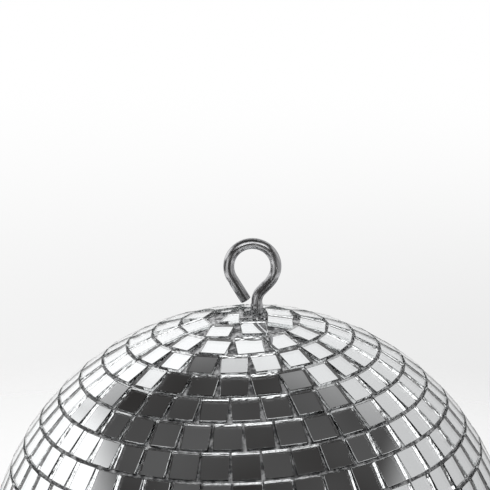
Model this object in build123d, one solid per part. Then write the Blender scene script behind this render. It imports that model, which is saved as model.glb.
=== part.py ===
"""A 200 mm mirror ball: a hollow two-part plastic core, rings of square mirror tiles glued to it,
and a bent-wire eye that screws into a captive nut at the top.

Everything is worked out about the ball's centre, with +Z along the eye's stem, and is then moved
so that the origin is the point on the stem's axis, under the top of the eye, where a hook bears.
"""

from build123d import *
from math import acos, asin, atan, cos, degrees, floor, radians, sin, sqrt, tan
import os

# ---- driving dimensions, in millimetres and degrees ----

BALL_R = 100.0                # over the faces of the mirror tiles
GLASS_THICKNESS = 1.5
TILE_SIZE = 9.5               # least side of the square tiles, before the cutting tolerance
LARGEST_TILE = 9.85           # a ring with room to spare has larger tiles, up to this
GLUE_GAP = 0.05               # between the glue's surface and the backs of the tiles
GLUE_THICKNESS = 0.45
SHELL_THICKNESS = 2.5
SHELL_TO_BAND = 0.05          # glued fit between the core's halves and the band inside them

# the rings of tiles
ROW_PITCH = 6.01              # angle at the ball's centre from one ring to the next
ROW_COUNT = 28
FIRST_ROW = 1.60              # the first ring's distance from the tiles' own pole, in pitches
TILE_AXIS_LEAN = 3.64         # the rings' axis leans this far from the stem, towards -X
ROW_PHASE = {2: -4.9, 3: 5.8, 4: 4.5, 5: 7.3}   # where a joint between tiles falls, from -Y towards +X
PHASE_STEP = 137.5            # turn from one ring's joint to the next, for the other rings
SIDE_CLEARANCE = 0.04         # least half-gap between neighbours in a ring, at their backs
CUT_SHORT = 0.02              # every tile is at least this much under its ring's size
CUT_SPREAD = 0.14             # and up to this much more
SEAT_TILT = 1.1               # how far a tile may lean on its glue
SEAT_TWIST = 0.25             # how far it may be turned in its own plane
SEAT_SHIFT = 0.02             # how far it may be off its place along the ring

TILT_IN_GLUE = 1.6            # a tile that leans more than this is bedded higher, to clear the core
PROUD_TILES = {(1, 0): 2.0, (1, 1): 7.0, (2, 0): 3.0, (3, 19): 4.0}   # (ring, place): lean away from the pole

# the first ring is laid by hand around the eye: (angle from -Y towards +X, shift towards the pole, twist)
FIRST_RING = [(-25.5, 0.3, 10.0), (20.3, 1.8, -12.7), (71.2, 0.9, 18.0), (109.3, 1.2, -13.0),
              (158.0, -0.15, 0.0), (202.0, -0.15, 0.0), (246.0, -0.15, 0.0), (290.0, -0.15, 0.0)]

# the eye: bent wire with a rolled thread
WIRE_R = 2.0
THREAD_R = 2.4
THREAD_PITCH = 1.058
LOOP_R = 8.6                  # to the wire's centre line
LOOP_X = -1.9                 # the hand-bent loop stands this far off the stem's axis
LOOP_Z = 118.0
LOOP_FREE_ANGLE = 212.5       # where the free leg leaves the loop
LOOP_STEM_ANGLE = -42.0       # where the neck leaves it
NECK_R = 5.5                  # the reverse bend that brings the neck onto the stem's axis
FREE_LEG = 9.6
STEM_END_Z = 66.0
END_CHAMFER = 0.35

# what the eye screws into
SEAT_DEPTH = 0.5              # of the flat on the core under the washer
SEAT_R = 3.9
WASHER_R = 3.3
WASHER_THICKNESS = 0.8
COLLAR_R = 2.75
COLLAR_HEIGHT = 1.0
SHANK_R = 2.3                 # the upset part of the stem between the collar and the neck
SHANK_TOP_Z = 104.8
SHANK_CHAMFER = 0.28
RUNNING_FIT = 0.05            # radial clearance of the turning fits
THREAD_RELIEF = 0.4
BOSS_R = 11.5
BOSS_END_Z = 76.0
STEM_HOLE_R = 2.7
LOAD_WASHER_R = 5.0
LOAD_WASHER_Z = 92.0
LOAD_WASHER_THICKNESS = 1.0
NUT_FLATS = 8.0
POCKET_FLATS = 8.2
RETAINER_THICKNESS = 1.5
RETAINER_R = 11.0
SCREW_OFFSET = 8.0
SCREW_R = 1.1
SCREW_LENGTH = 8.0
SCREW_HEAD_R = 2.1
SCREW_HEAD_HEIGHT = 1.4
RIB_THICKNESS = 2.0
RIB_REACH = 34.0
BAND_HALF_HEIGHT = 9.0
BAND_THICKNESS = 2.5
GLUE_HOLE_R = 4.1

# ---- worked out from them ----

TILE_BACK_R = BALL_R - GLASS_THICKNESS
GLUE_R = TILE_BACK_R - GLUE_GAP
SHELL_R = GLUE_R - GLUE_THICKNESS
SHELL_INNER_R = SHELL_R - SHELL_THICKNESS
SEAT_Z = SHELL_R - SEAT_DEPTH
LOOP_INNER_R = LOOP_R - WIRE_R
HANG_Z = LOOP_Z + sqrt(LOOP_INNER_R ** 2 - LOOP_X ** 2)
NUT_TOP_Z = LOAD_WASHER_Z - LOAD_WASHER_THICKNESS
WASHER_TOP_Z = SEAT_Z + WASHER_THICKNESS
TILE_FRAME = Rot(0, -TILE_AXIS_LEAN, 0)


def bar(radius, low, high, x=0.0, y=0.0):
    """A round bar along Z."""
    return Pos(x, y, low) * Cylinder(radius, high - low, align=(Align.CENTER, Align.CENTER, Align.MIN))


def hexagon(flats, low, high):
    """A hexagonal prism along Z."""
    outline = Pos(0, 0, low) * RegularPolygon(flats / 2, 6, major_radius=False)
    return extrude(outline, amount=high - low)


def half_space(low, high):
    """A block wider than the ball, to cut a half or a band out of a sphere."""
    width = 3 * BALL_R
    return Pos(0, 0, low) * Box(width, width, high - low, align=(Align.CENTER, Align.CENTER, Align.MIN))


def spread(*numbers):
    """A steady scatter from -1 to 1 that depends only on the numbers given."""
    value = sin(sum(n * f for n, f in zip(numbers, (12.9898, 78.233, 37.719)))) * 43758.5453
    return 2 * (value - floor(value)) - 1


# ---- the core ----

def nut_boss():
    """The boss inside the upper half, with its four ribs, before it is bored."""
    boss = bar(BOSS_R, BOSS_END_Z, SHELL_R - 1)
    height = SHELL_R - BOSS_END_Z
    rib = Pos(0, 0, BOSS_END_Z + height / 2) * Box(2 * RIB_REACH, RIB_THICKNESS, height)
    return (boss + rib + Rot(0, 0, 90) * rib) & Sphere(SHELL_INNER_R + 0.5)


def upper_shell():
    """The core's upper half: seat and hole for the stem, and the pocket that holds the nut."""
    shell = (Sphere(SHELL_R) - Sphere(SHELL_INNER_R)) & half_space(0, SHELL_R + 1)
    shell = shell + nut_boss()
    shell -= bar(SEAT_R, SEAT_Z, SHELL_R + 1)
    shell -= bar(STEM_HOLE_R, BOSS_END_Z - 1, SHELL_R)
    shell -= bar(LOAD_WASHER_R + 0.1, NUT_TOP_Z, LOAD_WASHER_Z)
    shell -= hexagon(POCKET_FLATS, BOSS_END_Z - 1, NUT_TOP_Z)
    for side in (-1, 1):
        shell -= bar(SCREW_R + 0.03, BOSS_END_Z - 1, BOSS_END_Z + SCREW_LENGTH, side * SCREW_OFFSET)
    return shell


def lower_shell():
    """The core's plain lower half."""
    return (Sphere(SHELL_R) - Sphere(SHELL_INNER_R)) & half_space(-SHELL_R - 1, 0)


def seam_band():
    """The band glued inside the seam, which joins the two halves."""
    outer = SHELL_INNER_R - SHELL_TO_BAND
    ring = Sphere(outer) - Sphere(outer - BAND_THICKNESS)
    return ring & half_space(-BAND_HALF_HEIGHT, BAND_HALF_HEIGHT)


def glue_skin(upper):
    """The dark coat of glue on one half of the core."""
    skin = Sphere(GLUE_R) - Sphere(SHELL_R)
    if not upper:
        return skin & half_space(-GLUE_R - 1, 0)
    return (skin & half_space(0, GLUE_R + 1)) - bar(GLUE_HOLE_R, 0, GLUE_R + 1)


# ---- the fixing for the eye ----

def load_washer():
    """Spreads the nut's pull over the top of its pocket."""
    return bar(LOAD_WASHER_R, NUT_TOP_Z, LOAD_WASHER_Z) - bar(STEM_HOLE_R, NUT_TOP_Z, LOAD_WASHER_Z)


def stem_nut():
    """A long hexagon nut, with its thread as a plain bore."""
    nut = hexagon(NUT_FLATS, BOSS_END_Z, NUT_TOP_Z)
    corners = NUT_FLATS / sqrt(3)
    nut &= chamfer(bar(corners, BOSS_END_Z, NUT_TOP_Z).edges().filter_by(GeomType.CIRCLE), 0.5)
    return nut - bar(THREAD_R + RUNNING_FIT, BOSS_END_Z, NUT_TOP_Z)


def nut_retainer():
    """The plate that closes the nut's pocket."""
    low = BOSS_END_Z - RETAINER_THICKNESS
    plate = bar(RETAINER_R, low, BOSS_END_Z) - bar(STEM_HOLE_R, low, BOSS_END_Z)
    for side in (-1, 1):
        plate -= bar(SCREW_R + 0.1, low, BOSS_END_Z, side * SCREW_OFFSET)
    return plate


def retainer_screw(side):
    """A pan-head screw that holds the plate to the boss."""
    seat = BOSS_END_Z - RETAINER_THICKNESS
    x = side * SCREW_OFFSET
    shank = bar(SCREW_R, seat, BOSS_END_Z + SCREW_LENGTH - 1, x)
    head = bar(SCREW_HEAD_R, seat - SCREW_HEAD_HEIGHT, seat, x)
    slot = Pos(x, 0, seat - SCREW_HEAD_HEIGHT) * Box(3 * SCREW_HEAD_R, 0.5, 1.2)
    return shank + head - slot


def captive_washer():
    """The washer on the stem, kept there by the collar above it and the thread below it."""
    return bar(WASHER_R, SEAT_Z, WASHER_TOP_Z) - bar(WIRE_R + RUNNING_FIT, SEAT_Z, WASHER_TOP_Z)


# ---- the eye ----

def on_loop(angle):
    """The point on the loop's centre line at this angle from +X."""
    return LOOP_X + LOOP_R * cos(radians(angle)), LOOP_Z + LOOP_R * sin(radians(angle))


def eye_line():
    """The wire's centre line in the XZ plane, from the neck's foot to the free end."""
    turn = -LOOP_STEM_ANGLE
    neck_x, neck_z = on_loop(LOOP_STEM_ANGLE)
    straight = (neck_x - NECK_R * (1 - cos(radians(turn)))) / sin(radians(turn))
    bend_x = neck_x - straight * sin(radians(turn))
    bend_z = neck_z - straight * cos(radians(turn))
    foot_z = bend_z - NECK_R * sin(radians(turn))
    leg_x, leg_z = on_loop(LOOP_FREE_ANGLE)
    fall = radians(LOOP_FREE_ANGLE + 90)
    end = (leg_x + FREE_LEG * cos(fall), leg_z + FREE_LEG * sin(fall))
    neck = CenterArc((NECK_R, foot_z), NECK_R, 180, -turn)
    loop = CenterArc((LOOP_X, LOOP_Z), LOOP_R, LOOP_STEM_ANGLE, LOOP_FREE_ANGLE - LOOP_STEM_ANGLE)
    line = Line((0, WASHER_TOP_Z), (0, foot_z)) + neck + Line((bend_x, bend_z), (neck_x, neck_z))
    return Plane.XZ * (line + loop + Line((leg_x, leg_z), end))


def eye_bolt():
    """The bent wire, its upset shank and collar, and its thread as a plain bar at the thread's outside."""
    wire = sweep(Pos(0, 0, WASHER_TOP_Z) * Circle(WIRE_R), path=eye_line())
    stem = bar(WIRE_R, SEAT_Z - THREAD_RELIEF, WASHER_TOP_Z)
    collar = bar(COLLAR_R, WASHER_TOP_Z, WASHER_TOP_Z + COLLAR_HEIGHT)
    shank = bar(SHANK_R, WASHER_TOP_Z, SHANK_TOP_Z)
    shank = chamfer(shank.edges().filter_by(GeomType.CIRCLE).sort_by(Axis.Z)[-1], SHANK_CHAMFER)
    thread = bar(THREAD_R, STEM_END_Z, SEAT_Z - THREAD_RELIEF)
    thread = chamfer(thread.edges().filter_by(GeomType.CIRCLE), END_CHAMFER)
    return wire + collar + shank + stem + thread


# ---- the mirror tiles ----

def laid_tile(polar, azimuth, shape, tilt=(0.0, 0.0), twist=0.0):
    """A shape drawn flat, with its back on Z = 0, laid at an angle from the tiles' pole."""
    proud = max(0.0, max(abs(lean) for lean in tilt) - TILT_IN_GLUE)
    lift = TILE_SIZE / 2 * sin(radians(proud))
    place = Rot(0, 0, azimuth - 90) * Rot(0, polar, 0) * Pos(0, 0, TILE_BACK_R + lift)
    return TILE_FRAME * place * Rot(tilt[0], tilt[1], twist) * shape


def square_tile(row, index, polar, azimuth, size, twist=0.0):
    """One square tile, with the scatter of hand cutting and hand setting."""
    along = size - CUT_SHORT - CUT_SPREAD * abs(spread(row, index, 1))
    across = size - CUT_SHORT - CUT_SPREAD * abs(spread(row, index, 2))
    blank = Box(along, across, GLASS_THICKNESS, align=(Align.CENTER, Align.CENTER, Align.MIN))
    lean = PROUD_TILES.get((row, index), 0.0) + SEAT_TILT * spread(row, index, 4)
    tilt = (SEAT_TILT * spread(row, index, 3), lean)
    shift = degrees(SEAT_SHIFT * spread(row, index, 5) / (TILE_BACK_R * sin(radians(polar))))
    return laid_tile(polar, azimuth + shift, blank, tilt, twist + SEAT_TWIST * spread(row, index, 6))


def row_polar(row):
    """The ring's angle from the tiles' pole."""
    return (FIRST_ROW + row - 1) * ROW_PITCH


def tiles_in(row):
    """How many tiles fit around the ring, where their backs come closest to its axis."""
    polar = radians(row_polar(row))
    middle = TILE_BACK_R * sin(polar)
    narrow = middle - TILE_SIZE / 2 * abs(cos(polar))
    return floor(180 / degrees(atan((TILE_SIZE / 2 + SIDE_CLEARANCE) / narrow)))


def size_in(row, count):
    """The side of the largest square tile of which this many fit around the ring."""
    polar = radians(row_polar(row))
    share = tan(radians(180 / count))
    fitting = 2 * (share * TILE_BACK_R * sin(polar) - SIDE_CLEARANCE) / (1 + share * abs(cos(polar)))
    return min(LARGEST_TILE, fitting)


def tile_row(row):
    """One ring of tiles."""
    if row == 1:
        laid = []
        for index, (azimuth, shift, twist) in enumerate(FIRST_RING):
            polar = row_polar(1) - degrees(shift / TILE_BACK_R)
            laid.append(square_tile(1, index, polar, azimuth, TILE_SIZE, twist))
        return laid
    count = tiles_in(row)
    step = 360 / count
    phase = ROW_PHASE.get(row, PHASE_STEP * row % step)
    size = size_in(row, count)
    return [square_tile(row, i, row_polar(row), phase + (i + 0.5) * step, size) for i in range(count)]


def glass_piece(outline):
    """A flat piece of glass with this outline."""
    return extrude(make_face(Polyline(*outline, close=True)), amount=GLASS_THICKNESS)


def flat_to_ball(x, y):
    """The angle from the tiles' pole and the azimuth of a point this far from it, seen from above."""
    reach = sqrt(x * x + y * y)
    azimuth = degrees(acos(-y / reach)) * (1 if x > 0 else -1)
    return degrees(asin(reach / BALL_R)), azimuth


def hand_cut_piece(x, y, outline, turn):
    """A piece cut to fill in beside the eye. Its outline is seen from above and turned about its place."""
    polar, azimuth = flat_to_ball(x, y)
    return laid_tile(polar, azimuth, glass_piece(outline), twist=turn + 90 - azimuth)


def top_cut_tiles():
    """The part-width tile beside the eye and the slivers around its stem."""
    part_tile = [(-4.4, -4.6), (2.9, -4.6), (3.7, 4.6), (-0.9, 4.6)]
    wedge = [(-2.0, -1.2), (1.9, -1.5), (0.6, 1.6)]
    sliver = [(-1.9, -0.7), (1.7, -1.1), (1.4, 0.5), (-1.2, 0.9)]
    offcut = [(-2.6, -1.3), (2.4, -1.5), (2.2, 1.4), (-1.0, 1.7)]
    return [
        hand_cut_piece(-3.2, -2.9, part_tile, 3.0),
        hand_cut_piece(2.8, -3.3, wedge, 12.0),
        hand_cut_piece(7.1, -6.1, sliver, -8.0),
        hand_cut_piece(3.4, 7.0, offcut, 20.0),
        hand_cut_piece(-4.6, 6.6, offcut, 195.0),
    ]


def tile_bottom_centre():
    """The single tile that closes the last ring, at the tiles' lower pole."""
    blank = Box(TILE_SIZE, TILE_SIZE, GLASS_THICKNESS, align=(Align.CENTER, Align.CENTER, Align.MIN))
    return laid_tile(180, 30, blank)


# ---- the parts, moved to the row's origin and written out ----

def write(name, *solids):
    """One node: its solids, with the point where a hook bears as the origin."""
    moved = [Pos(0, 0, -HANG_Z) * solid for piece in solids for solid in piece.solids()]
    export_step(moved[0] if len(moved) == 1 else Compound(children=moved), f"parts/{name}.step")


os.makedirs("parts", exist_ok=True)
write("eye_bolt", eye_bolt())
write("captive_washer", captive_washer())
write("upper_shell", upper_shell())
write("lower_shell", lower_shell())
write("seam_band", seam_band())
write("glue_upper", glue_skin(True))
write("glue_lower", glue_skin(False))
write("load_washer", load_washer())
write("stem_nut", stem_nut())
write("nut_retainer", nut_retainer())
write("retainer_screws", retainer_screw(-1), retainer_screw(1))
for number in range(1, ROW_COUNT + 1):
    write(f"tile_row_{number:02d}", *tile_row(number))
write("top_cut_tiles", *top_cut_tiles())
write("tile_bottom_centre", tile_bottom_centre())
print(f"tiles in the rings: {sum(len(FIRST_RING) if n == 1 else tiles_in(n) for n in range(1, ROW_COUNT + 1))}")
print(f"the hook bears {HANG_Z:.3f} mm above the ball's centre")
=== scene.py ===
"""The looks of the mirror ball: silvered glass tiles with snapped edges, the drawn-wire eye with its
rolled thread, and the glue between the tiles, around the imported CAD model. Everything is in metres."""

import bpy
from math import cos, floor, pi, radians, sin, sqrt, tan
from mathutils import Matrix, Vector


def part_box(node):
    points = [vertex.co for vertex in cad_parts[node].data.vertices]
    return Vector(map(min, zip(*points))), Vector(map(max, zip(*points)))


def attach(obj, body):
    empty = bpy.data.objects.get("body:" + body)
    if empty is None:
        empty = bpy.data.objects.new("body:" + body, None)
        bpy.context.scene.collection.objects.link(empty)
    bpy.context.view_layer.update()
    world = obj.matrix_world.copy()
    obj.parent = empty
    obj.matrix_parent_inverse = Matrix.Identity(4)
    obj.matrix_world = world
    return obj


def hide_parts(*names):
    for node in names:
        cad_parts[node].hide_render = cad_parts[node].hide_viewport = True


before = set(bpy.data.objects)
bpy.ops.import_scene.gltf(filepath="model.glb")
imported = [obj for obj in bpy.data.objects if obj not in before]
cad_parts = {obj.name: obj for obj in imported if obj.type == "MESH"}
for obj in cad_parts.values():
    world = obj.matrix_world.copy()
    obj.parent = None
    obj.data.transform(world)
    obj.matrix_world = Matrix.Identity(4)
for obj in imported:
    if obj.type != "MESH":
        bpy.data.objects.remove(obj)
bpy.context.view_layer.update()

MM = 0.001
RING_COUNT = 28
TILE_NODES = [f"tile_row_{n:02d}" for n in range(1, RING_COUNT + 1)]
TILE_NODES += ["top_cut_tiles", "tile_bottom_centre"]

# the ball's centre is on the seam between the core's halves
BALL_CENTRE = Vector((0, 0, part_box("lower_shell")[1].z))

# the floor
FLOOR_GAP = 0.2 * MM                 # under the lowest tile
FLOOR_Z = min(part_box(name)[0].z for name in TILE_NODES) - FLOOR_GAP
FLOOR_R = 0.63
FLOOR_SIDES = 96
FADE_START, FADE_END = 0.30, 0.62    # where it fades out, from its middle

# the camera: how far it is from the ball's centre, and how it is turned
CAMERA_DISTANCE = 0.5306
CAMERA_LENS = 98.72
CAMERA_PITCH = radians(12.9)
CAMERA_ROLL = radians(1.07)
CENTRE_BELOW_AXIS = radians(13.39)
CENTRE_RIGHT_OF_AXIS = radians(0.27)

# the tiles
WELD = 0.002 * MM             # CAD corners nearer than this are one corner
POINT_SPACING = 1.35 * MM     # along a snapped edge
FEWEST_STEPS = 3              # along the shortest edge
SNAP_ROUGHNESS = 0.05 * MM
SNAP_SLANT = 0.05 * MM
CORNER_WEAR = 0.16 * MM
LEAST_WEAR = 0.3              # the least worn corner's part of CORNER_WEAR
ARRIS = 0.09 * MM             # the small bevel round the front
SILVER_LIFT = 0.015 * MM
SILVER_THICKNESS = 0.02 * MM
SILVER_INSET = 0.03 * MM
SILVER_EDGE = 0.28 * MM       # how far in the silver has dulled
GLASS_IOR = 1.52
FACE, EDGE = 0, 1             # the places of the glass's materials in its list

# the eye, by its height above the ball's centre
WIRE_R = 2.0 * MM
THREAD_R = 2.4 * MM
THREAD_DEPTH = 0.55 * MM
THREAD_PITCH = 1.058 * MM
THREAD_FLANK = 1.35           # over 1, it leaves a flat on the thread's crest
THREAD_ROOT = 0.12            # over 0, it leaves a flat in the thread's root
THREAD_RUN_OUT = 1.5 * THREAD_PITCH
BLANK_R = WIRE_R - 0.03 * MM  # between the thread and the collar
STEM_END_Z = 66.0 * MM
STEM_END_R = 1.5 * MM
STEM_END_SLOPE = 0.8
THREAD_TOP_Z = 97.1 * MM
COLLAR_Z = 98.3 * MM
COLLAR_HEIGHT = 1.0 * MM
COLLAR_R = 2.75 * MM
COLLAR_ROUNDING = 0.2 * MM    # of its edges, across the stem
COLLAR_ROUND_PART = 0.22      # of its height, at each edge
SHANK_R = 2.3 * MM
SHANK_TOP_Z = 104.8 * MM
SHANK_TAPER = 1.8 * MM
LOOP_R = 8.6 * MM
LOOP_X = -1.9 * MM
LOOP_Z = 118.0 * MM
LOOP_FREE_ANGLE = radians(212.5)
LOOP_STEM_ANGLE = radians(-42)
NECK_R = 5.5 * MM
FREE_LEG = 9.6 * MM
CUT_ROUNDING = 0.3 * MM       # round the free end
SAME_LEVEL = 0.02 * MM        # a ring of points this close to the collar's foot is part of it
WIRE_SIDES = 56
THREAD_STEP = THREAD_PITCH / 12
COLLAR_STEP = COLLAR_HEIGHT / 16
STRAIGHT_STEP = 0.4 * MM
LOOP_STEP = 0.35 * MM
NECK_STEP = 0.25 * MM
CUT_STEP = 0.06 * MM

# the soft box
LAMP_SIZE = 1.6
LAMP_ENERGY = 14.0
LAMP_PLACE = BALL_CENTRE + Vector((-0.9, 0.3, 1.7))


def spread(*numbers):
    """A steady scatter from 0 to 1 that depends only on the numbers given."""
    value = sin(sum(n * f for n, f in zip(numbers, (12.9898, 78.233, 37.719, 9.151)))) * 43758.5453
    return value - floor(value)


# ---- node helpers ----

class Nodes:
    """A short way to write a node tree."""

    def __init__(self, tree):
        self.tree = tree

    def add(self, kind, settings=None, **sockets):
        """A node, its own settings, and its inputs by name: a number, a colour or another node's output."""
        node = self.tree.nodes.new(kind)
        for name, value in (settings or {}).items():
            setattr(node, name, value)
        for name, value in sockets.items():
            self.put(node.inputs[name.replace("_", " ")], value)
        return node

    def put(self, socket, value):
        """Sets an input to a value, or links another node's output to it."""
        if isinstance(value, bpy.types.NodeSocket):
            self.tree.links.new(value, socket)
        else:
            socket.default_value = value

    def maths(self, operation, *values):
        node = self.add("ShaderNodeMath", {"operation": operation})
        for socket, value in zip(node.inputs, values):
            self.put(socket, value)
        return node.outputs[0]

    def ramp(self, factor, low, high, to_low=0.0, to_high=1.0):
        """A smooth step from to_low to to_high as factor goes from low to high."""
        node = self.add("ShaderNodeMapRange", {"interpolation_type": "SMOOTHSTEP"}, Value=factor,
                        From_Min=low, From_Max=high, To_Min=to_low, To_Max=to_high)
        return node.outputs[0]

    def mix(self, factor, first, second):
        """One colour mixed into another. The colours' sockets come after those for numbers and vectors."""
        node = self.add("ShaderNodeMix", {"data_type": "RGBA"})
        for socket, value in ((0, factor), (6, first), (7, second)):
            self.put(node.inputs[socket], value)
        return node.outputs[2]

    def mix_shaders(self, factor, first, second):
        """The output of one shader node mixed with another's."""
        node = self.add("ShaderNodeMixShader")
        for socket, value in enumerate((factor, first, second)):
            self.put(node.inputs[socket], value)
        return node.outputs[0]

    def background(self, colour, strength):
        return self.add("ShaderNodeBackground", Color=colour, Strength=strength).outputs[0]

    def noise(self, vector, scale, detail=4.0, roughness=0.55):
        node = self.add("ShaderNodeTexNoise", Vector=vector, Scale=scale, Detail=detail, Roughness=roughness)
        return node.outputs["Fac"]

    def stretched(self, vector, scale):
        return self.add("ShaderNodeMapping", Vector=vector, Scale=scale).outputs[0]

    def place(self):
        """The point on the object, in metres."""
        return self.add("ShaderNodeTexCoord").outputs["Object"]

    def bump(self, height, distance, strength):
        return self.add("ShaderNodeBump", Height=height, Distance=distance, Strength=strength).outputs[0]


def emptied(owner):
    """The node tree of a material or a world, with nothing in it."""
    owner.use_nodes = True
    owner.node_tree.nodes.clear()
    return owner.node_tree


def material(name, build):
    """A material whose surface is what build(nodes) returns, as the sockets of a Principled shader."""
    made = bpy.data.materials.new(name)
    nodes = Nodes(emptied(made))
    shader = nodes.add("ShaderNodeBsdfPrincipled")
    for socket, value in build(nodes).items():
        nodes.put(shader.inputs[socket], value)
    out = nodes.add("ShaderNodeOutputMaterial")
    nodes.put(out.inputs["Surface"], shader.outputs[0])
    return made


def rgb(red, green, blue):
    return (red, green, blue, 1.0)


def grey(value):
    return rgb(value, value, value)


# ---- materials ----

def glass_face(n):
    """The polished face of float glass, with the faint smears that handling leaves."""
    smear = n.noise(n.stretched(n.place(), (1.0, 1.0, 2.5)), 160.0, 5.0)
    waves = n.noise(n.place(), 45.0, 1.0)
    return {"Base Color": rgb(0.978, 0.988, 0.992), "Transmission Weight": 1.0, "IOR": GLASS_IOR,
            "Roughness": n.ramp(smear, 0.52, 0.8, 0.0, 0.05), "Normal": n.bump(waves, 0.00002, 0.5)}


def glass_edge(n):
    """The snapped edge: clear and mostly bright, with light hackle marks and a few chips."""
    place = n.place()
    hackle = n.noise(place, 700.0, 3.0, 0.5)
    chips = n.noise(place, 1500.0, 3.0)
    chipped = n.ramp(chips, 0.58, 0.66)
    tone = n.mix(chipped, rgb(0.95, 0.968, 0.968), rgb(0.988, 0.993, 0.995))
    relief = n.maths("ADD", n.maths("MULTIPLY", hackle, 0.4), n.maths("MULTIPLY", chipped, 0.5))
    return {"Base Color": tone, "Transmission Weight": 1.0, "IOR": GLASS_IOR,
            "Roughness": n.maths("MULTIPLY", chipped, 0.12), "Normal": n.bump(relief, 0.00012, 0.6)}


def silver(n):
    """The silvering seen through the glass, dulled in specks along the cut."""
    place = n.place()
    border = n.add("ShaderNodeAttribute", {"attribute_name": "border"}).outputs["Fac"]
    specks = n.noise(place, 1900.0, 4.0, 0.65)
    dulled = n.ramp(n.maths("ADD", n.maths("MULTIPLY", border, 0.50), specks), 1.02, 1.16)
    haze = n.noise(place, 70.0, 4.0)
    return {"Base Color": n.mix(dulled, rgb(0.945, 0.95, 0.955), rgb(0.30, 0.305, 0.31)), "Metallic": 1.0,
            "Roughness": n.maths("ADD", n.maths("MULTIPLY", dulled, 0.35), n.ramp(haze, 0.4, 0.8, 0.0, 0.03))}


def plated_wire(n):
    """Bright plating over drawn wire: long fine draw lines and small nicks."""
    along = n.add("ShaderNodeAttribute", {"attribute_name": "wire_place"}).outputs["Vector"]
    lines = n.noise(n.stretched(along, (1.0, 1.0, 0.018)), 1500.0, 4.0, 0.6)
    broad = n.noise(n.stretched(along, (1.0, 1.0, 0.05)), 420.0, 2.0)
    nicks = n.noise(n.stretched(along, (1.0, 1.0, 0.4)), 900.0, 5.0, 0.7)
    pitted = n.ramp(nicks, 0.62, 0.72)
    relief = n.maths("ADD", n.maths("MULTIPLY", lines, 4.0), n.maths("MULTIPLY", broad, 7.0))
    relief = n.maths("ADD", relief, n.maths("MULTIPLY", pitted, -1.2))
    dull = n.maths("ADD", lines, n.maths("MULTIPLY", pitted, 0.6))
    return {"Base Color": n.mix(n.ramp(lines, 0.35, 0.7), rgb(0.50, 0.50, 0.51), rgb(0.80, 0.80, 0.81)),
            "Metallic": 1.0, "Specular Tint": rgb(0.42, 0.42, 0.43),
            "Roughness": n.ramp(dull, 0.3, 1.2, 0.07, 0.34), "Normal": n.bump(relief, 0.00005, 0.9)}


def zinc(n):
    """Bright zinc plate with the turned marks of small fasteners."""
    place = n.place()
    turned = n.add("ShaderNodeTexWave", {"wave_type": "RINGS", "rings_direction": "Z"}, Vector=place,
                   Scale=900.0, Distortion=1.5, Detail=2.0).outputs["Fac"]
    mottled = n.noise(place, 500.0, 5.0)
    return {"Base Color": n.mix(mottled, rgb(0.50, 0.51, 0.53), rgb(0.74, 0.75, 0.77)), "Metallic": 1.0,
            "Roughness": n.ramp(mottled, 0.3, 0.8, 0.2, 0.42), "Normal": n.bump(turned, 0.00004, 0.6)}


def core_plastic(n):
    """Black moulded plastic with a fine spark-eroded grain."""
    place = n.place()
    grain = n.noise(place, 1400.0, 3.0)
    cloudy = n.noise(place, 30.0, 3.0)
    return {"Base Color": n.mix(cloudy, rgb(0.018, 0.018, 0.02), rgb(0.035, 0.035, 0.037)),
            "Roughness": n.ramp(grain, 0.3, 0.7, 0.42, 0.6), "Normal": n.bump(grain, 0.00006, 0.6)}


def tile_glue(n):
    """Set glue: dark grey, lumpy and shiny on its high places, with painted shade: its colour is darker in
    the hollows of its lumps and lighter on their high places.
    """
    place = n.place()
    lumps_and_painted_shade = n.noise(place, 420.0, 6.0, 0.6)
    strings = n.noise(n.stretched(place, (1.0, 1.0, 3.0)), 1500.0, 4.0)
    # painted shade: the colour follows the lumps of the bump, from dark grey in their hollows to light grey
    # on their high places
    tone = n.mix(n.ramp(lumps_and_painted_shade, 0.42, 0.62), rgb(0.09, 0.091, 0.095), rgb(0.58, 0.583, 0.59))
    relief = n.maths("ADD", lumps_and_painted_shade, n.maths("MULTIPLY", strings, 0.3))
    return {"Base Color": tone, "Roughness": n.ramp(strings, 0.3, 0.75, 0.22, 0.6),
            "Normal": n.bump(relief, 0.0007, 0.9)}


def floor_paint(n):
    """A pale matt floor with a faint cloudiness."""
    place = n.place()
    cloud = n.noise(place, 1.2, 3.0)
    return {"Base Color": n.mix(cloud, rgb(0.80, 0.80, 0.802), rgb(0.815, 0.815, 0.816)), "Roughness": 0.9,
            "Specular IOR Level": 0.1, "Normal": n.bump(n.noise(place, 900.0, 3.0), 0.0001, 0.2)}


def fade_out(made, start, end):
    """Lets a material go clear between two distances from its object's centre."""
    n = Nodes(made.node_tree)
    reach = n.add("ShaderNodeVectorMath", {"operation": "LENGTH"}, Vector=n.place()).outputs["Value"]
    surface = next(node for node in n.tree.nodes if node.type == "OUTPUT_MATERIAL").inputs["Surface"]
    solid = surface.links[0].from_socket
    clear = n.add("ShaderNodeBsdfTransparent").outputs[0]
    n.put(surface, n.mix_shaders(n.ramp(reach, start, end), solid, clear))


SURFACES = (glass_face, glass_edge, silver, plated_wire, zinc, core_plastic, tile_glue, floor_paint)
MATERIALS = {build.__name__: material(build.__name__, build) for build in SURFACES}
fade_out(MATERIALS["floor_paint"], FADE_START, FADE_END)


# ---- mesh helpers ----

def piece_from(name, points, faces, materials, body, material_of=None, smooth=False):
    """A piece on a body, from points and faces. material_of is each face's material number."""
    mesh = bpy.data.meshes.new(name)
    mesh.from_pydata(points, [], faces)
    for key in materials:
        mesh.materials.append(MATERIALS[key])
    if material_of:
        mesh.polygons.foreach_set("material_index", material_of)
    mesh.polygons.foreach_set("use_smooth", [smooth] * len(faces))
    mesh.validate()
    mesh.update()
    piece = bpy.data.objects.new(name, mesh)
    bpy.context.scene.collection.objects.link(piece)
    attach(piece, body)
    return piece


def bridge(first, second):
    """The faces between two rings of the same count, given by their vertex numbers."""
    count = len(first)
    return [(first[i], first[(i + 1) % count], second[(i + 1) % count], second[i]) for i in range(count)]


# ---- the tiles ----

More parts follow.
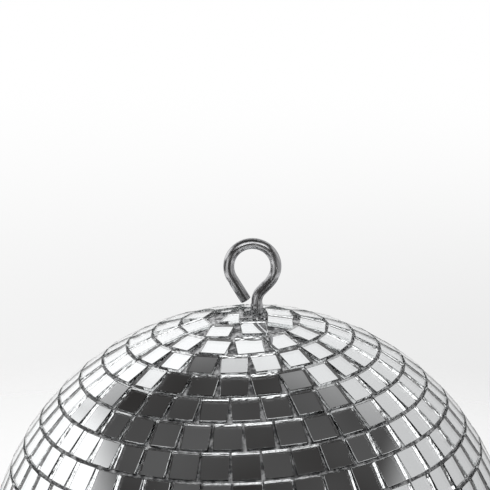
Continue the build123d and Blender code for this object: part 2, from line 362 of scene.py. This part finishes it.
class Tile:
    """One CAD tile: where it lies, and its outline in its own plane."""

    def __init__(self, corners):
        centre = sum(corners, Vector()) / len(corners)
        outward = (centre - BALL_CENTRE).normalized()
        middle = (centre - BALL_CENTRE).dot(outward)
        front = [p for p in corners if (p - BALL_CENTRE).dot(outward) > middle]
        back = [p for p in corners if (p - BALL_CENTRE).dot(outward) <= middle]
        front_centre = sum(front, Vector()) / len(front)
        back_centre = sum(back, Vector()) / len(back)
        self.normal = (front_centre - back_centre).normalized()
        self.thickness = (front_centre - back_centre).length
        self.origin = back_centre
        self.x_axis = (front[0] - front_centre).normalized()
        self.y_axis = self.normal.cross(self.x_axis)
        from_middle = [p - front_centre for p in front]
        flat = [Vector((way.dot(self.x_axis), way.dot(self.y_axis))) for way in from_middle]
        self.outline = sorted(flat, key=lambda p: (p.angle_signed(Vector((1, 0))) + 2 * pi) % (2 * pi))
        self.key = round(1e5 * sum(self.origin))

    def at(self, point, height):
        """A point of the tile's plane, at a height above its back, in the row's frame."""
        return self.origin + self.x_axis * point[0] + self.y_axis * point[1] + self.normal * height


def read_tiles(node):
    """The tiles of a CAD node, told apart by which corners its triangles join."""
    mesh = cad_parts[node].data
    spot = {}
    number = []
    for vertex in mesh.vertices:
        key = tuple(round(c / WELD) for c in vertex.co)
        number.append(spot.setdefault(key, len(spot)))
    group = list(range(len(spot)))

    def root(i):
        while group[i] != i:
            group[i] = group[group[i]]
            i = group[i]
        return i

    for polygon in mesh.polygons:
        ids = [number[v] for v in polygon.vertices]
        for other in ids[1:]:
            group[root(other)] = root(ids[0])
    where = {i: mesh.vertices[v].co.copy() for v, i in enumerate(number)}
    found = {}
    for i in range(len(spot)):
        found.setdefault(root(i), []).append(where[i])
    return [Tile(corners) for corners in found.values()]


def inset(outline, depths):
    """The outline with each side moved inwards by its own depth."""
    count = len(outline)
    sides = []
    for i in range(count):
        start, end = outline[i], outline[(i + 1) % count]
        along = (end - start).normalized()
        inward = Vector((-along.y, along.x))
        if inward.dot(start) > 0:
            inward.negate()
        sides.append((start + inward * depths[i], along))
    corners = []
    for i in range(count):
        (p, u), (q, w) = sides[i - 1], sides[i]
        cross = u.x * w.y - u.y * w.x
        t = ((q - p).x * w.y - (q - p).y * w.x) / cross
        corners.append(p + u * t)
    return corners


def snapped(outline, depths, seed):
    """The points round an outline that was scored and snapped: moved in, worn at its corners, uneven."""
    corners = inset(outline, depths)
    points = []
    for i, corner in enumerate(corners):
        after = corners[(i + 1) % len(corners)]
        length = (outline[(i + 1) % len(outline)] - outline[i]).length
        steps = max(FEWEST_STEPS, round(length / POINT_SPACING))
        points.append(corner * (1 - CORNER_WEAR * (LEAST_WEAR + spread(seed, i, 1)) / corner.length))
        for step in range(1, steps):
            point = corner.lerp(after, step / steps)
            points.append(point * (1 - SNAP_ROUGHNESS * spread(seed, i, step, 2) / point.length))
    return points


def add_plate(tile, levels, points, faces):
    """Adds a closed plate of a tile to points and faces: a snapped outline at each of its levels, given as
    (depth of each side, height, seed), the sides between them, and then the back and the front.
    Returns how many points each level has, and how many faces were added."""
    rings = []
    for depths, height, seed in levels:
        ring = snapped(tile.outline, depths, tile.key + seed)
        rings.append(range(len(points), len(points) + len(ring)))
        points += [tile.at(p, height) for p in ring]
    before = len(faces)
    for low, high in zip(rings, rings[1:]):
        faces += bridge(low, high)
    faces += [tuple(reversed(rings[0])), tuple(rings[-1])]
    return len(rings[0]), len(faces) - before


def glass_of(tiles, name, node):
    """The glass of a ring of tiles: flat faces, snapped sides, and a narrow arris round the front."""
    points, faces, kinds = [], [], []
    for tile in tiles:
        sides = range(len(tile.outline))
        lean = [SNAP_SLANT * spread(tile.key, i, 3) for i in sides]
        back = [SNAP_SLANT * spread(tile.key, i, 4) for i in sides]
        bevel = [depth + ARRIS for depth in lean]
        levels = [(back, 0.0, 5), (lean, tile.thickness - ARRIS, 6), (bevel, tile.thickness, 6)]
        added = add_plate(tile, levels, points, faces)[1]
        kinds += [EDGE] * (added - 2) + [FACE, FACE]
    piece = piece_from(name, points, faces, ("glass_face", "glass_edge"), "ball", kinds)
    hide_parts(node)


def silver_of(tiles, name):
    """The silvering of a ring of tiles: a thin plate just inside the back of each glass."""
    points, faces, border = [], [], []
    for tile in tiles:
        rim = [SILVER_INSET + SNAP_SLANT] * len(tile.outline)
        inner = [SILVER_INSET + SNAP_SLANT + SILVER_EDGE] * len(tile.outline)
        low, high = SILVER_LIFT, SILVER_LIFT + SILVER_THICKNESS
        count = add_plate(tile, [(rim, low, 0), (rim, high, 0), (inner, high, 0)], points, faces)[0]
        border += [1.0] * (2 * count) + [0.0] * count
    piece = piece_from(name, points, faces, ("silver",), "ball")
    attribute = piece.data.attributes.new("border", "FLOAT", "POINT")
    attribute.data.foreach_set("value", border)


def make_tiles():
    """Glass and silvering for each ring of tiles in the CAD, on the same places."""
    for node in TILE_NODES:
        tiles = read_tiles(node)
        glass_of(tiles, f"glass_{node}", node)
        silver_of(tiles, f"silver_{node}")


# ---- the eye ----

def eye_stations():
    """The stations of the wire from its threaded end to its free end, each (x, z, heading, distance along).
    A heading of 0 is straight up, and it grows towards +X."""
    neck_turn = -LOOP_STEM_ANGLE
    neck_x = LOOP_X + LOOP_R * cos(LOOP_STEM_ANGLE)
    neck_z = LOOP_Z + LOOP_R * sin(LOOP_STEM_ANGLE)
    straight = (neck_x - NECK_R * (1 - cos(neck_turn))) / sin(neck_turn)
    foot_z = neck_z - straight * cos(neck_turn) - NECK_R * sin(neck_turn)
    stations = []
    x, z, heading, gone = 0.0, STEM_END_Z, 0.0, 0.0

    def run(length, curve, step):
        """Goes on for a length, turning by curve radians a metre, to the right if it is positive."""
        nonlocal x, z, heading, gone
        count = max(1, round(length / step))
        part = length / count
        for _ in range(count):
            middle = heading + curve * part / 2
            x += part * sin(middle)
            z += part * cos(middle)
            heading += curve * part
            gone += part
            stations.append((x, z, heading, gone))

    stations.append((x, z, heading, gone))
    run(COLLAR_Z - STEM_END_Z, 0.0, THREAD_STEP)
    run(COLLAR_HEIGHT, 0.0, COLLAR_STEP)
    run(foot_z - COLLAR_Z - COLLAR_HEIGHT, 0.0, STRAIGHT_STEP)
    run(NECK_R * neck_turn, 1 / NECK_R, NECK_STEP)
    run(straight, 0.0, STRAIGHT_STEP)
    run(LOOP_R * (LOOP_FREE_ANGLE - LOOP_STEM_ANGLE), -1 / LOOP_R, LOOP_STEP)
    run(FREE_LEG - CUT_ROUNDING, 0.0, STRAIGHT_STEP)
    run(CUT_ROUNDING, 0.0, CUT_STEP)
    return stations


def thread_radius(angle, height):
    """The rolled thread's radius: a V with flats on its crest and in its root, which runs out at the top
    and is chamfered at its end."""
    turn = height / THREAD_PITCH - angle / (2 * pi)
    ridge = abs(2 * (turn - floor(turn)) - 1)
    ridge = min(1.0, max(0.0, THREAD_FLANK * ridge - THREAD_ROOT))
    full = min(1.0, max(0.0, (THREAD_TOP_Z - height) / THREAD_RUN_OUT))
    cut = THREAD_R - THREAD_DEPTH * (1 - ridge)
    radius = BLANK_R + (cut - BLANK_R) * full
    return min(radius, STEM_END_R + (height - STEM_END_Z) * STEM_END_SLOPE)


def shank_radius(height):
    """The upset part of the stem above the collar, running out into the wire."""
    left = min(1.0, max(0.0, (SHANK_TOP_Z - height) / SHANK_TAPER))
    return WIRE_R + (SHANK_R - WIRE_R) * left * left * (3 - 2 * left)


def collar_radius(height):
    """The radius of the swaged collar, round at both of its edges, and of the shank above it."""
    across = (height - COLLAR_Z) / COLLAR_HEIGHT
    if across <= 0:
        return WIRE_R
    if across >= 1:
        return shank_radius(height)
    from_edge = min(across, 1 - across) / COLLAR_ROUND_PART
    if from_edge >= 1:
        return COLLAR_R
    return COLLAR_R - COLLAR_ROUNDING + COLLAR_ROUNDING * sqrt(1 - (1 - from_edge) ** 2)


def die_mark(gone, angle, marks):
    """How far the bending tools have pressed the wire in at this place. Each mark is its distance along the
    wire, the side of the wire that it is on, half its length, and its depth."""
    half_width = 1.1    # radians round the wire
    pressed = 0.0
    for at, facing, half_length, depth in marks:
        away = abs((angle - facing + pi) % (2 * pi) - pi)
        if away < half_width and abs(gone - at) < half_length:
            across = cos(away / half_width * pi / 2)
            pressed += depth * across ** 2 * cos((gone - at) / half_length * pi / 2)
    return pressed


def make_eye():
    """The eye bolt as one closed skin of rings round the wire's stations."""
    stations = eye_stations()
    total = stations[-1][3]
    loop_end = total - FREE_LEG
    loop_start = loop_end - LOOP_R * (LOOP_FREE_ANGLE - LOOP_STEM_ANGLE)
    marks = [(loop_start - 0.6 * MM, pi, 1.4 * MM, 0.16 * MM),
             (loop_end + 0.4 * MM, 0.0, 1.2 * MM, 0.14 * MM),
             (loop_start + 3.2 * MM, 0.0, 1.6 * MM, 0.07 * MM)]
    points, place = [], []
    for x, z, heading, gone in stations:
        side = Vector((cos(heading), 0, -sin(heading)))
        height = STEM_END_Z + gone
        into_rounding = CUT_ROUNDING - (total - gone)
        for k in range(WIRE_SIDES):
            angle = 2 * pi * k / WIRE_SIDES
            if height < COLLAR_Z - SAME_LEVEL:
                radius = thread_radius(angle, height)
            elif height <= SHANK_TOP_Z:
                radius = collar_radius(height)
            else:
                radius = WIRE_R - die_mark(gone, angle, marks)
            if into_rounding > 0:
                radius -= CUT_ROUNDING - sqrt(max(0.0, CUT_ROUNDING ** 2 - into_rounding ** 2))
            outward = side * cos(angle) + Vector((0, 1, 0)) * sin(angle)
            points.append(BALL_CENTRE + Vector((x, 0, z)) + outward * radius)
            place.append((radius * cos(angle), radius * sin(angle), gone))
    rings = [range(i * WIRE_SIDES, (i + 1) * WIRE_SIDES) for i in range(len(stations))]
    faces = [face for low, high in zip(rings, rings[1:]) for face in bridge(low, high)]
    faces += [tuple(reversed(rings[0])), tuple(rings[-1])]
    piece = piece_from("hanging_eye", points, faces, ("plated_wire",), "eye", smooth=True)
    attribute = piece.data.attributes.new("wire_place", "FLOAT_VECTOR", "POINT")
    attribute.data.foreach_set("vector", [c for p in place for c in p])
    for cap in piece.data.polygons[-2:]:
        cap.use_smooth = False
    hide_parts("eye_bolt")


# ---- what the CAD keeps ----

def finish_cad_nodes():
    """The CAD's own shapes stay, with finished materials."""
    finishes = {"zinc": ("captive_washer", "load_washer", "stem_nut", "nut_retainer", "retainer_screws"),
                "core_plastic": ("upper_shell", "lower_shell", "seam_band"),
                "tile_glue": ("glue_upper", "glue_lower")}
    for key, names in finishes.items():
        for name in names:
            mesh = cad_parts[name].data
            mesh.materials.clear()
            mesh.materials.append(MATERIALS[key])


# ---- the studio ----

def make_floor():
    """A round floor just under the ball. It fades into the surroundings before its rim."""
    mesh = bpy.data.meshes.new("floor")
    angles = [2 * pi * i / FLOOR_SIDES for i in range(FLOOR_SIDES)]
    rim = [(FLOOR_R * cos(angle), FLOOR_R * sin(angle), 0) for angle in angles]
    mesh.from_pydata(rim, [], [tuple(range(FLOOR_SIDES))])
    mesh.materials.append(MATERIALS["floor_paint"])
    floor_object = bpy.data.objects.new("floor", mesh)
    floor_object.location = (0, 0, FLOOR_Z)
    bpy.context.scene.collection.objects.link(floor_object)


def make_camera():
    """The camera, placed by where it sees the ball's centre: below its axis and a little to the right."""
    camera = bpy.data.cameras.new("camera")
    camera.lens = CAMERA_LENS
    camera.clip_start = 0.01
    holder = bpy.data.objects.new("camera", camera)
    turn = Matrix.Rotation(pi / 2 - CAMERA_PITCH, 3, "X") @ Matrix.Rotation(CAMERA_ROLL, 3, "Z")
    to_centre = Vector((tan(CENTRE_RIGHT_OF_AXIS), -tan(CENTRE_BELOW_AXIS), -1)).normalized()
    holder.matrix_world = Matrix.Translation(BALL_CENTRE - turn @ to_centre * CAMERA_DISTANCE) @ turn.to_4x4()
    bpy.context.scene.collection.objects.link(holder)
    bpy.context.scene.camera = holder


def reflected_studio(n):
    """What the mirrors and the wire reflect: a white cyclorama behind the ball, light side walls, and a dark
    room on the camera's side and overhead, with a low window on its left, a grey wall low on its right and
    a soft box high in front. Each is a region of directions: +Y is behind the ball, and -X is left."""
    way = n.add("ShaderNodeTexCoord").outputs["Generated"]
    x, y, z = n.add("ShaderNodeSeparateXYZ", Vector=way).outputs
    across = n.maths("ABSOLUTE", x)
    low = n.ramp(z, 0.15, -0.05)

    # the cyclorama ends at an uneven edge, which comes forward at the sides except low down
    uneven = n.maths("MULTIPLY", n.maths("SUBTRACT", n.noise(way, 2.2, 3.0), 0.5), 0.12)
    edge = n.maths("ADD", n.maths("ADD", y, n.maths("MULTIPLY", x, 0.2)), uneven)
    aside = n.maths("MAXIMUM", n.maths("SUBTRACT", across, 0.70), 0.0)
    edge = n.maths("MULTIPLY_ADD", aside, n.maths("MULTIPLY_ADD", low, -4.0, 4.0), edge)
    screen = n.ramp(edge, 0.36, 0.54)
    glow = n.maths("MULTIPLY", n.ramp(x, -0.20, 0.85, 1.02, 0.60), n.ramp(x, -0.60, -0.10, 1.12, 1.0))

    # the room
    cloud = n.ramp(n.noise(way, 3.1, 3.0), 0.3, 0.7)
    room = n.mix(cloud, rgb(0.030, 0.028, 0.027), rgb(0.105, 0.104, 0.104))
    right_wall = n.maths("MULTIPLY", n.ramp(x, 0.50, 0.62), low)
    room = n.mix(right_wall, room, grey(0.42))
    window = n.maths("MULTIPLY", n.ramp(x, -0.42, -0.50), n.ramp(x, -0.88, -0.80))
    window = n.maths("MULTIPLY", window, n.maths("MULTIPLY", n.ramp(y, -0.2, -0.3), low))
    room = n.mix(window, room, grey(0.80))

    # the soft box
    high = n.maths("MULTIPLY", n.ramp(z, 0.28, 0.33), n.ramp(z, 0.74, 0.68))
    ahead = n.maths("MULTIPLY", n.ramp(y, -0.45, -0.55), n.ramp(across, 0.55, 0.45))
    seen = n.mix(n.maths("MULTIPLY", high, ahead), n.mix(screen, room, grey(1.0)), grey(1.5))
    return n.background(seen, n.ramp(screen, 0.0, 1.0, 1.0, glow))


def plain_backdrop(n):
    """What shows behind the object: white above, and a pale grey lower down, a little darker to the right."""
    way = n.add("ShaderNodeTexCoord").outputs["Generated"]
    x, _, z = n.add("ShaderNodeSeparateXYZ", Vector=way).outputs
    horizon = n.mix(n.ramp(x, -0.30, 0.30), grey(0.90), grey(0.83))
    return n.background(n.mix(n.ramp(z, -0.30, -0.10), horizon, grey(1.0)), 1.0)


def make_world():
    """The surroundings: the studio in reflections, a plain backdrop straight to the camera, and an even
    white light on matt surfaces."""
    world = bpy.data.worlds.new("studio")
    bpy.context.scene.world = world
    n = Nodes(emptied(world))
    path = n.add("ShaderNodeLightPath").outputs
    lit = n.mix_shaders(path["Is Diffuse Ray"], reflected_studio(n), n.background(grey(1.0), 0.95))
    seen = n.mix_shaders(path["Is Camera Ray"], lit, plain_backdrop(n))
    n.put(n.add("ShaderNodeOutputWorld").inputs["Surface"], seen)


def make_lights():
    """One large soft box above and to the left, which shapes the matt parts and casts the ball's shadow."""
    lamp = bpy.data.lights.new("soft_box", "AREA")
    lamp.shape = "DISK"
    lamp.size = LAMP_SIZE
    lamp.energy = LAMP_ENERGY
    holder = bpy.data.objects.new("soft_box", lamp)
    aim = (BALL_CENTRE - LAMP_PLACE).to_track_quat("-Z", "Y")
    holder.matrix_world = Matrix.Translation(LAMP_PLACE) @ aim.to_matrix().to_4x4()
    holder.visible_glossy = False
    holder.visible_transmission = False
    bpy.context.scene.collection.objects.link(holder)


make_camera()
make_floor()
make_world()
make_lights()
bpy.context.scene.view_settings.view_transform = "Standard"
make_tiles()
make_eye()
finish_cad_nodes()
